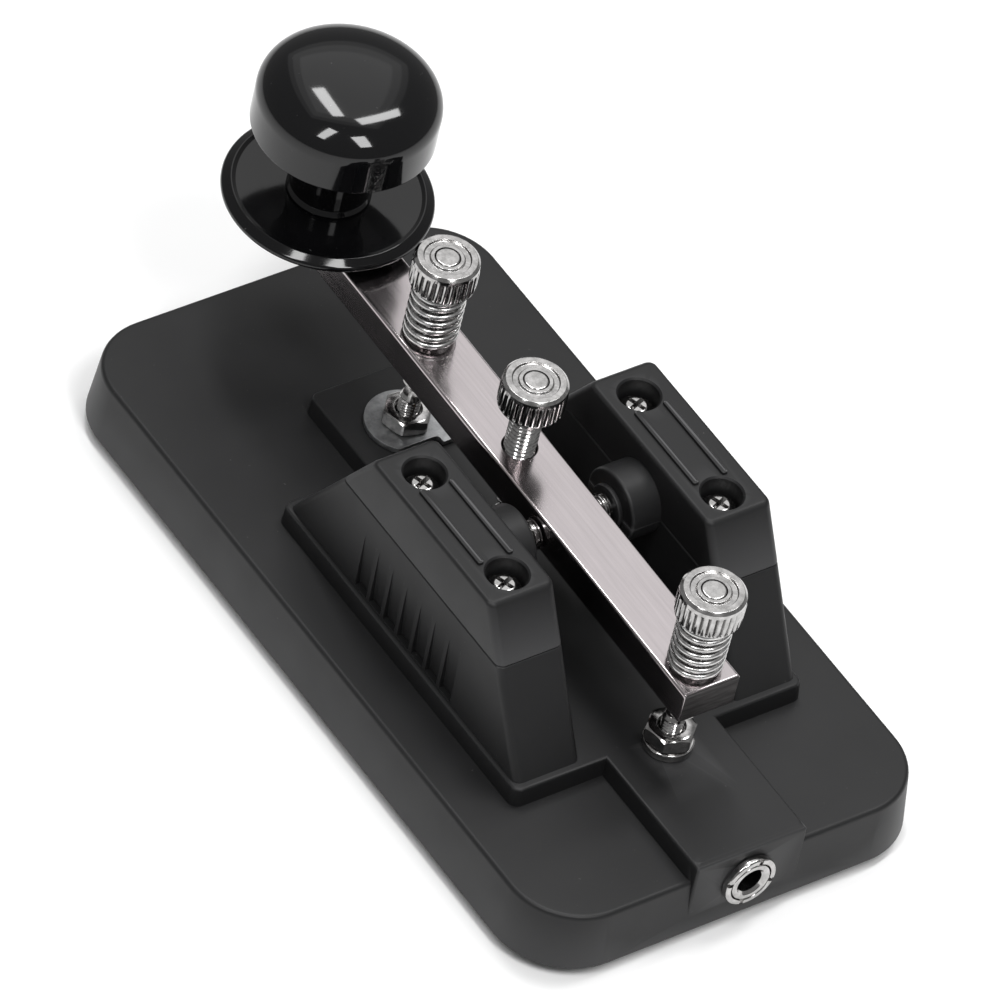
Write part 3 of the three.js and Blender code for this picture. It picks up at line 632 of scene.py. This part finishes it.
def base_shell():
    """Base, deck and pedestals in one moulding, hollow from below."""
    side = filleted([(DRAFT - 0.25, 0), (DRAFT, 0.25), (0.02, BASE_TOP, 0.75), (-3, BASE_TOP)], 6)
    made = new_object("look_base_shell", loft(BASE_X, BASE_Y, CORNER, side, steps=18), FIXED)
    edge = filleted([(0.35, BASE_TOP - 1), (0, DECK, 0.45), (-2, DECK)], 5)
    spine = loft(SPINE_X, (SPINE_FRONT - PANEL_Y) / 2 - 0.3, 1.2, edge,
                 (0, (SPINE_FRONT + PANEL_Y) / 2 + 0.3), 6)
    wings = loft(WING_X, (WING_FRONT - WING_REAR) / 2, 1.2, edge,
                 (0, (WING_FRONT + WING_REAR) / 2), 6)
    panel_edge = filleted([(0, 0), (0, DECK - 0.02, 0.4), (-2, DECK - 0.02)], 5)
    panel = loft(SPINE_X, 3, 0.35, panel_edge, (0, PANEL_Y + 3), 4)
    combine(made, "UNION", spine, wings, panel, matrix=FIXED)
    pedestal = filleted([(0, DECK - 1), (0, SEAM - 0.14), (-0.14, SEAM)])
    for sx in (-1, 1):
        combine(made, "UNION", tower(sx, pedestal), matrix=FIXED)
        join_or_cut(made, "UNION", boss(sx, keep_above=False))
        combine(made, "DIFFERENCE", bush_bore(sx), *scoops(sx), matrix=FIXED)
    inner = [size - WALL for size in (BASE_X, BASE_Y, CORNER)]
    ledge = [size - WALL + 1 for size in (BASE_X, BASE_Y, CORNER)]
    hollow = loft(*inner, [(0, -1), (0, BASE_TOP - WALL)], steps=12)
    seat = loft(*ledge, [(0, -1), (0, 2.1)], steps=12)
    keel = block(-6, 6, PANEL_Y + WALL, SPINE_FRONT - 4, 0, DECK - WALL)
    jack_hole = drill(JACK_HOLE_R, 50, FAR, 48, axis="-Y", at=(0, 0, JACK_Z))
    holes = [drill(STUD_HOLE_R, 0, 15, 32, at=(0, y, 0)) for y in STUDS]
    combine(made, "DIFFERENCE", hollow, seat, keel, jack_hole, *holes, matrix=FIXED)
    finish_piece(made, MOULDED, "base", "base_shell")


def bearing_cap(name, side):
    """Top of a pedestal, over the axle's bush, with two screws and two low ridges."""
    low = SEAM + SEAM_GAP
    profile = filleted([(-0.14, low), (0, low + 0.14), (0, TOWER_TOP, 0.65), (-3, TOWER_TOP)], 6)
    made = new_object("look_" + name, tower(side, profile), FIXED)
    join_or_cut(made, "UNION", boss(side, keep_above=True))
    well, lip = 2.8, 0.25
    bore = filleted([(0, CAP_SEAT), (well, CAP_SEAT), (well, TOWER_TOP - lip),
                     (well + 2 * lip, TOWER_TOP + lip), (0, TOWER_TOP + lip)])
    cuts = [bush_bore(side)]
    for y in CAP_SCREW_Y:
        at = (side * CAP_SCREW_X, y, 0)
        cuts += [lathe(bore, 48, at=at), drill(1.8, SEAM - 1, CAP_SEAT + 1, 48, at=at)]
    combine(made, "DIFFERENCE", *cuts, matrix=FIXED)
    ridge_y = sum(CAP_SCREW_Y) / 2
    ridge_top = TOWER_TOP + 0.4
    edge = filleted([(0.1, TOWER_TOP - 0.5), (0, ridge_top, 0.2), (-0.25, ridge_top)], 3)
    for dx in (-2.25, 2.25):
        ridge = loft(0.42, 7.0, 0.3, edge, (side * CAP_SCREW_X + dx, ridge_y), 4)
        combine(made, "UNION", ridge, matrix=FIXED)
    finish_piece(made, MOULDED, "base", name)


base_shell()
bearing_cap("left_bearing_cap", -1)
bearing_cap("right_bearing_cap", 1)

# ---------------------------------------------------------------- bearings
BUSH_R, FLANGE_R, AXLE_BORE = 2.4, 3.1, 1.35
COLLAR_BORE, GROOVE_R, LAND_R, LANDS = 1.4, 1.85, 2.15, 3


def bush(side):
    """Flanged sleeve in the boss."""
    face, seat = BOSS_END - 0.75, BOSS_END - 0.1
    profile = filleted([(AXLE_BORE, face, 0.15), (FLANGE_R, face, 0.25), (FLANGE_R, seat, 0.05),
                        (BUSH_R, seat), (BUSH_R, BUSH_END), (AXLE_BORE, BUSH_END)], 4, closed=True)
    return on_axle(side, profile + profile[:1], 64)


def axle_collar(side, x0, x1):
    """Grooved sleeve on the axle, from one distance off the lever's middle to another."""
    step = (x1 - x0) / (2 * LANDS - 1)
    profile = [(COLLAR_BORE, x0)]
    for k in range(LANDS):
        h = x0 + 2 * k * step
        profile += [(GROOVE_R, h), (LAND_R, h + step * 0.3),
                    (LAND_R, h + step * 0.7), (GROOVE_R, h + step)]
    profile += [(COLLAR_BORE, x1), (COLLAR_BORE, x0)]
    return lathe([(q, side * h) for q, h in profile], 64, axis="X")


for name, side in (("left", -1), ("right", 1)):
    made = new_object(f"look_{name}_bush", bush(side), FIXED)
    finish_piece(made, MOULDED, "base", f"{name}_bearing_bush")
    low, high = in_frame(TO_LEVER, f"{name}_axle_collar")
    x0, x1 = sorted((abs(low.x), abs(high.x)))
    made = new_object(f"look_{name}_collar", axle_collar(side, x0, x1), LEVER)
    finish_piece(made, NICKEL, "lever", f"{name}_axle_collar")


# ---------------------------------------------------------------- cross-recess screws
def cross_screw(name, head_r, head_h, shank_r, length, matrix):
    """Pan head with a cross recess; its seat is at z = 0."""
    pitch = 0.5
    thread = (-length + 0.6, -0.4)
    profile = [(0, -length), (shank_r * 0.7, -length)]
    profile += thread_profile(shank_r, pitch, *thread)
    profile += [(shank_r, 0)]
    profile += filleted([(shank_r, 0), (head_r, 0, 0.15), (head_r, head_h * 0.55, 0.5),
                         (head_r * 0.55, head_h, 0.8), (0, head_h)], 5)[1:]
    made = new_object(name, lathe(profile, 48, threaded(pitch, *thread, 0.25)), matrix)
    arm, deep = head_r * 0.56, head_h - 0.95
    for angle in (20, 110):
        rings = []
        for z, reach, half in ((deep, 0.35 * arm, 0.16), (head_h + 0.1, arm, 0.34)):
            corners = [(-reach, -half), (reach, -half), (reach, half), (-reach, half)]
            rings.append([(x, y, z) for x, y in corners])
        combine(made, "DIFFERENCE", skin(rings), matrix=matrix @ z_turn(angle))
    return made


first = cross_screw("look_cap_screw_left_rear", 2.45, 1.7, 1.45, CAP_SEAT - 17.0,
                    fixed_at(-CAP_SCREW_X, CAP_SCREW_Y[1], CAP_SEAT + 0.1))
finish_piece(first, NICKEL, "base", "cap_screw_left_rear")
dx, dy = 2 * CAP_SCREW_X, CAP_SCREW_Y[0] - CAP_SCREW_Y[1]
copies(first, {
    "cap_screw_left_front": (0, dy, 0),
    "cap_screw_right_rear": (dx, 0, 0),
    "cap_screw_right_front": (dx, dy, 0),
})

# ---------------------------------------------------------------- contacts
STUD_R = 1.5
STUD_PITCH = 0.5
for node, y, slot_turn in (("front_contact_stud", STUDS[0], 40), ("rear_stop_stud", STUDS[1], 80)):
    low, high = in_frame(TO_FIXED, node)
    thread = (low.z + 0.5, high.z - 0.5)
    profile = [(0, low.z), (1.0, low.z)] + thread_profile(STUD_R, STUD_PITCH, *thread)
    profile += filleted([(STUD_R, thread[1]), (1.15, high.z, 0.2), (0, high.z)])[1:]
    at = fixed_at(0, y)
    made = new_object("look_" + node, lathe(profile, 40, threaded(STUD_PITCH, *thread, 0.22)), at)
    kerf = block(-3, 3, -0.22, 0.22, high.z - 0.7, high.z + 1)
    combine(made, "DIFFERENCE", kerf, matrix=at @ z_turn(slot_turn))
    finish_piece(made, NICKEL, "base", node)

NUT_FLATS, NUT_BORE = 6.06, 1.62
for node, y, turn in (("front_contact_nut", STUDS[0], -13), ("rear_stop_nut", STUDS[1], -19)):
    low, high = in_frame(TO_FIXED, node)
    made = new_object("look_" + node, hex_nut(NUT_FLATS, NUT_BORE, low.z, high.z, turn), fixed_at(0, y))
    finish_piece(made, NICKEL, "base", node)


def lug():
    """Ring with a flat on its rear side and a tail that runs back under the lever."""
    low, high = in_frame(TO_FIXED, "front_contact_lug")
    r, flat, neck = 5.5, -4.1, 2.4
    tail = low.y - STUDS[0]
    start = math.acos(high.x / r) if high.x < r else 0.0
    stop = math.pi + math.asin(-flat / r)
    outline = [(neck, flat, 1.6), (neck, tail, 0.3), (high.x, tail, 0.3), (high.x, -2.0, 1.0), (r, 0)]
    arc = 40
    for i in range(1, arc + 1):
        a = start + (stop - start) * i / arc
        outline.append((r * math.cos(a), r * math.sin(a)))
    at = fixed_at(0, STUDS[0])
    sheet = prism_z(filleted(outline, 6, closed=True), low.z, high.z)
    made = new_object("look_front_contact_lug", sheet, at)
    combine(made, "DIFFERENCE", drill(STUD_HOLE_R, 5, 20, 32), matrix=at)
    bevel(made, 0.12, 2)
    finish_piece(made, ZINC, "base", "front_contact_lug")


lug()

low, high = in_frame(TO_FIXED, "rear_stop_washer")
washer = filleted([(STUD_HOLE_R, low.z, 0.1), (3.4, low.z, 0.2), (3.4, high.z, 0.25),
                   (STUD_HOLE_R, high.z, 0.1)], 4, closed=True)
made = new_object("look_rear_stop_washer", lathe(washer + washer[:1], 64), fixed_at(0, STUDS[1]))
finish_piece(made, NICKEL, "base", "rear_stop_washer")

low, high = in_frame(TO_FIXED, "return_spring_seat")
seat_y = (low.y + high.y) / 2
seat_foot, dish_low, dish_top, peg_top = 6.6, DECK + 0.1, DECK + 1.1, DECK + 2.4
seat = filleted([(0, seat_foot), (1.0, seat_foot, 0.1), (1.0, dish_low), (2.7, dish_low, 0.1),
                 (2.7, DECK + 0.9, 0.3), (2.4, dish_top, 0.1), (0.75, dish_top, 0.2),
                 (0.6, peg_top, 0.25), (0, peg_top)])
made = new_object("look_return_spring_seat", lathe(seat, 56), fixed_at(0, seat_y))
finish_piece(made, BRASS, "base", "return_spring_seat")

# ---------------------------------------------------------------- jack
JACK_AT = (0, 0, JACK_Z)
low, high = in_frame(TO_FIXED, "jack_barrel")
near, far = -high.y, -low.y
barrel = filleted([(1.8, near), (2.9, near), (2.9, far, 0.25), (2.25, far, 0.25), (1.8, far - 0.4)], 4,
                  closed=True)
made = new_object("look_jack_barrel", lathe(barrel + barrel[:1], 56, axis="-Y", at=JACK_AT), FIXED)
finish_piece(made, NICKEL, "base", "jack_barrel")
low, high = in_frame(TO_FIXED, "jack_ring_nut")
near, far = -high.y, -low.y
ring = filleted([(3.05, near), (3.85, near, 0.1), (3.85, far, 0.35), (3.05, far, 0.2)], 4, closed=True)
made = new_object("look_jack_ring_nut", lathe(ring + ring[:1], 72, axis="-Y", at=JACK_AT), FIXED)
for angle in (15, 105):
    kerf = block(-6, 6, -far - 1, -far + 0.35, -0.3, 0.3)
    turn = Matrix.Rotation(math.radians(angle), 4, "Y")
    combine(made, "DIFFERENCE", kerf, matrix=fixed_at(*JACK_AT) @ turn)
finish_piece(made, NICKEL, "base", "jack_ring_nut")

# ---------------------------------------------------------------- underside
PLATE_SCREW = (22.0, 36.0)
low, high = in_frame(TO_FIXED, "bottom_plate")
plate = filleted([(-0.15, low.z), (0, low.z + 0.15), (0, high.z, 0.2), (-3, high.z)], 3)
plate = loft(high.x, high.y, CORNER - WALL + 0.8, plate, steps=14)
made = new_object("look_bottom_plate", plate, FIXED)
sink = [(0, -1), (3.8, -1), (1.5, 1.5), (1.5, 3), (0, 3)]
for sx in (-1, 1):
    for sy in (-1, 1):
        hole = lathe(sink, 40, at=(sx * PLATE_SCREW[0], sy * PLATE_SCREW[1], 0))
        combine(made, "DIFFERENCE", hole, matrix=FIXED)
finish_piece(made, ZINC, "base", "bottom_plate")

flush = filleted([(0, 0), (2.5, 0, 0.1), (1.2, 1.3), (1.2, 7.0), (0, 7.0)])
screw_at = fixed_at(-PLATE_SCREW[0], -PLATE_SCREW[1], 0.05)
first = new_object("look_plate_screw_left_rear", lathe(flush, 40), screw_at)
for angle in (30, 120):
    kerf = block(-1.45, 1.45, -0.3, 0.3, -1, 0.6)
    combine(first, "DIFFERENCE", kerf, matrix=screw_at @ z_turn(angle))
finish_piece(first, NICKEL, "base", "plate_screw_left_rear")
dx, dy = 2 * PLATE_SCREW[0], 2 * PLATE_SCREW[1]
copies(first, {
    "plate_screw_left_front": (0, dy, 0),
    "plate_screw_right_rear": (dx, 0, 0),
    "plate_screw_right_front": (dx, dy, 0),
})

FOOT = (20.5, 46.5)
FOOT_R = 4.5
low, high = in_frame(TO_FIXED, "foot_left_rear")
pad = filleted([(0, low.z), (FOOT_R - 0.6, low.z, 0.3), (FOOT_R, low.z + 0.6, 0.3),
                (FOOT_R, high.z, 0.1), (0, high.z)])
first = new_object("look_foot_left_rear", lathe(pad, 56), fixed_at(-FOOT[0], -FOOT[1]))
finish_piece(first, RUBBER, "base", "foot_left_rear")
dx, dy = 2 * FOOT[0], 2 * FOOT[1]
copies(first, {
    "foot_left_front": (0, dy, 0),
    "foot_right_rear": (dx, 0, 0),
    "foot_right_front": (dx, dy, 0),
})

# ---------------------------------------------------------------- lever
arm_low, arm_high = in_frame(TO_LEVER, "lever_arm")
KNOB_Y = 57.9
SCREWS = {"gap": 32.7, "tension": 11.2, "stop": -29.5}
ARM_EDGE = 0.5
ARM_HOLES = {SCREWS["gap"]: 2.15, SCREWS["tension"]: 2.35, SCREWS["stop"]: 2.15, KNOB_Y: 2.15}


def arm():
    """Solid bar with rounded long edges, bored for the screws and the axle; its rear end face is
    painted dark, as painted shade.
    """
    middle, half = (arm_high.y + arm_low.y) / 2, (arm_high.y - arm_low.y) / 2
    edge = filleted([(-1.2, arm_low.z), (0, arm_low.z, ARM_EDGE), (0, arm_high.z, ARM_EDGE),
                     (-1.2, arm_high.z)], 6)
    bar = loft(arm_high.x, half, 0.25, edge, (0, middle), 6)
    made = new_object("look_lever_arm", bar, LEVER)
    bottom, top = arm_low.z - 1, arm_high.z
    for y, r in ARM_HOLES.items():
        hole = [(0, bottom), (r, bottom), (r, top - 0.1), (r + 0.2, top + 0.1), (0, top + 0.1)]
        combine(made, "DIFFERENCE", lathe(hole, 40, at=(0, y, 0)), matrix=LEVER)
    combine(made, "DIFFERENCE", drill(1.4, -9, 9, axis="X"), matrix=LEVER)
    finish_piece(made, STRIP, "lever", "lever_arm")
    # The rear end face gets the dark steel: painted shade, for the dark reflection on that face.
    made.data.materials.append(DARK_STEEL_AND_END_SHADE)
    rear = lever_at(arm_low.y + 1).translation.y
    for face in made.data.polygons:
        if face.normal.y < -0.8 and face.center.y < rear:
            face.material_index = 1


arm()


def knob():
    """Drum with a domed top on a plain neck, over a dished skirt."""
    low, high = in_frame(TO_LEVER, "knob")
    r, bore, foot, neck = high.x, 2.1, low.z, 5.2
    rim, shoulder, power = 17.7, 22.7, 2.3
    dome = high.z - shoulder
    under = filleted([(bore, foot), (neck + 0.6, foot, 0.2), (neck, foot + 0.8, 0.6), (neck, 15.6, 2.2),
                      (9.0, 17.2, 1.5), (r - 0.5, rim, 0.2), (r, rim + 0.35, 0.35), (r, 20.0)], 8)
    steps = 56
    over = []
    for i in range(steps + 1):
        a = (math.pi / 2) * i / steps
        over.append((r * math.cos(a) ** (2 / power), shoulder + dome * math.sin(a) ** (2 / power)))
    over[-1] = (0, over[-1][1])
    profile = under + over + [(0, 15.0), (bore, 15.0), (bore, foot)]
    made = new_object("look_knob", lathe(profile, 128), lever_at(KNOB_Y))
    finish_piece(made, GLOSS, "lever", "knob")
    low, high = in_frame(TO_LEVER, "knob_skirt")
    r, foot = high.x, low.z
    skirt = filleted([(bore, foot), (4.6, foot, 0.2), (4.8, foot + 1.05, 0.3), (12.6, 4.7, 2.0),
                      (r, 5.2, 0.7), (r, 5.9, 0.6), (12.8, 6.7, 0.35), (12.25, 6.35, 0.25),
                      (8.5, 6.25, 1), (bore, 6.3)], 6, closed=True)
    made = new_object("look_knob_skirt", lathe(skirt + skirt[:1], 128), lever_at(KNOB_Y))
    finish_piece(made, GLOSS, "lever", "knob_skirt")


knob()
upside_down = lever_at(KNOB_Y, arm_low.z - 0.1) @ Matrix.Rotation(math.pi, 4, "X")
made = cross_screw("look_knob_screw", 3.6, 2.0, 1.95, 15.6, upside_down)
finish_piece(made, NICKEL, "lever", "knob_screw")

# ---------------------------------------------------------------- adjusting screws
KNURLS = 28
KNURL_DEPTH = 0.42
HEAD_R = 4.45
SPIGOT = 1.65
SCREW_PITCH = 0.7
LOCKED_R, TENSION_R = 1.95, 2.15  # shanks of the two locked screws and of the tension screw
BORE_R, BORE_END = 1.6, 2.6  # of the hollow tension screw


def knurled_head(name, low, high, y):
    """Fluted head under a smooth turned rim, with a groove round the end of its screw."""
    r = HEAD_R
    rim, foot = high - 0.95, low + 0.45
    profile = filleted([
        (SPIGOT + 0.1, low), (r - 0.4, low), (r - 0.1, foot - 0.1), (r - 0.1, foot), (r, foot + 0.25),
        (r, rim - 0.25), (r - 0.1, rim), (r - 0.12, high - 0.4), (r - 0.5, high, 0.15),
        (3.15, high - 0.02, 0.05), (3.05, high - 0.3, 0.08), (2.35, high - 0.3, 0.08),
        (2.2, high - 0.05, 0.08), (SPIGOT + 0.1, high - 0.05),
    ], 4, closed=True)

    def flutes(q, z, a):
        if q < r - 0.09 or not foot - 0.01 < z < rim + 0.01:
            return q
        t = abs(math.sin(a * KNURLS / 2))
        return q - KNURL_DEPTH * (1 - t) ** 1.2

    return new_object("look_" + name, lathe(profile + profile[:1], KNURLS * 8, flutes), lever_at(y))


def adjuster(prefix, y, r, hollow=False):
    """Head and threaded shank of an adjusting screw; returns the height of the head's underside."""
    low, high = in_frame(TO_LEVER, prefix + "_head")
    head = knurled_head(prefix + "_head", low.z, high.z, y)
    finish_piece(head, NICKEL, prefix, prefix + "_head")
    tip = in_frame(TO_LEVER, prefix + "_shank")[0].z
    shoulder = low.z - 0.1
    if hollow:
        profile = [(0, BORE_END), (BORE_R, BORE_END), (BORE_R, tip), (r - 0.25, tip)]
        start = tip + 0.25
    else:
        start = tip + 1.5
        profile = filleted([(0, tip), (0.9, tip, 0.25), (1.25, tip + 0.8, 0.1), (r, start)], 4)
    profile += thread_profile(r, SCREW_PITCH, start, shoulder)
    profile += [(SPIGOT, shoulder + 0.01)]
    profile += filleted([(SPIGOT, shoulder + 0.01), (SPIGOT, high.z, 0.25), (0, high.z)], 4)[1:]
    thread = threaded(SCREW_PITCH, start, shoulder, SCREW_PITCH * 0.5)

    def only_outside(q, z, a):
        return thread(q, z, a) if q > r - 0.01 else q

    shank = new_object(f"look_{prefix}_shank", lathe(profile, 48, only_outside), lever_at(y))
    finish_piece(shank, NICKEL, prefix, prefix + "_shank")
    return low.z


for prefix, y in (("gap_screw", SCREWS["gap"]), ("stop_screw", SCREWS["stop"])):
    head_low = adjuster(prefix, y, LOCKED_R)
    foot, top = arm_high.z + 0.05, head_low - 0.05
    at = lever_at(y)
    made = new_object(f"look_{prefix}_spring", helix(3.27, 0.42, foot, top, 5.0), at)
    made.data.materials.append(WIRE)
    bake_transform(made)
    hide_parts(prefix + "_spring")
adjuster("tension_screw", SCREWS["tension"], TENSION_R, hollow=True)

low, high = in_frame(TO_FIXED, "return_spring")
made = new_object("look_return_spring", helix(1.02, 0.22, low.z, high.z, 8.0, 28, 10),
                  fixed_at(0, (low.y + high.y) / 2))
finish_piece(made, WIRE, "base", "return_spring")
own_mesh(made)

# ---------------------------------------------------------------- floor, lights, camera
FLOOR_REACH = 4.0
corners = [(x * FLOOR_REACH, y * FLOOR_REACH, 0) for x, y in ((-1, -1), (1, -1), (1, 1), (-1, 1))]
floor_mesh = bpy.data.meshes.new("floor")
floor_mesh.from_pydata(corners, [], [(0, 1, 2, 3)])
floor = bpy.data.objects.new("floor", floor_mesh)
bpy.context.scene.collection.objects.link(floor)
pale = Paint("floor", (0.9, 0.9, 0.9), 0, 0.8, Specular_IOR_Level=0.1)
pale.color(pale.mix(pale.noise(3, 2), (0.88, 0.88, 0.88), (0.92, 0.92, 0.92)))
floor_mesh.materials.append(pale.material)

AZIMUTH, ELEVATION, ROLL = (math.radians(a) for a in (42.66, 45.11, 12.95))
TARGET = Vector((-1.36, -0.40, 21.29)) * MM
DISTANCE = 1.539
forward = Vector((math.sin(AZIMUTH) * math.cos(ELEVATION), math.cos(AZIMUTH) * math.cos(ELEVATION),
                  -math.sin(ELEVATION)))
level = Vector((math.cos(AZIMUTH), -math.sin(AZIMUTH), 0))
right = level * math.cos(ROLL) + level.cross(forward) * math.sin(ROLL)
up = right.cross(forward)
camera = bpy.data.objects.new("camera", bpy.data.cameras.new("camera"))
camera.data.sensor_width = 36
camera.data.lens = 431.6
camera.data.clip_start, camera.data.clip_end = 0.05, 20
bpy.context.scene.collection.objects.link(camera)
facing = Matrix((right, up, -forward)).transposed().to_4x4()
camera.matrix_world = Matrix.Translation(TARGET - forward * DISTANCE) @ facing
bpy.context.scene.camera = camera


def by_camera(x, y, z):
    """Direction given by its shares to the right of, above and towards the camera."""
    return right * x + up * y - forward * z


def glow(name, direction, distance, size_x, size_y, radiance):
    """Soft rectangular light that faces the object, given by the brightness of its face."""
    data = bpy.data.lights.new(name, "AREA")
    data.shape = "RECTANGLE"
    data.size, data.size_y = size_x, size_y
    data.energy = radiance * math.pi * size_x * size_y
    made = bpy.data.objects.new(name, data)
    bpy.context.scene.collection.objects.link(made)
    away = direction.normalized()
    made.matrix_world = (Matrix.Translation(TARGET + away * distance)
                         @ away.to_track_quat("Z", "Y").to_matrix().to_4x4())


SKY = by_camera(0.12, 0.97, 0.0) + Vector((0, 0, 0.45))
glow("sky_wide", SKY, 1.9, 1.8, 2.4, 0.26)
glow("sky_middle", SKY, 1.8, 1.4, 1.9, 0.3)
glow("sky_heart", SKY, 1.7, 1.0, 1.4, 0.34)
WINDOW_DISTANCE, WINDOW_RADIANCE = 1.0, 15
WINDOWS = {
    "window_1": (by_camera(0.04, 0.90, 0.43), 0.12, 0.40),
    "window_2": (by_camera(-0.14, 0.37, 0.92), 0.13, 0.50),
    "window_3": (by_camera(0.45, 0.77, 0.45), 0.13, 0.46),
    "window_4": (by_camera(0.38, 0.22, 0.90), 0.20, 0.46),
}
for name, (direction, width, height) in WINDOWS.items():
    glow(name, direction, WINDOW_DISTANCE, width, height, WINDOW_RADIANCE)

world = bpy.data.worlds.new("world")
world.use_nodes = True
world.node_tree.nodes["Background"].inputs["Color"].default_value = (1, 1, 1, 1)
world.node_tree.nodes["Background"].inputs["Strength"].default_value = 0.26
bpy.context.scene.world = world
bpy.context.scene.view_settings.view_transform = "Standard"
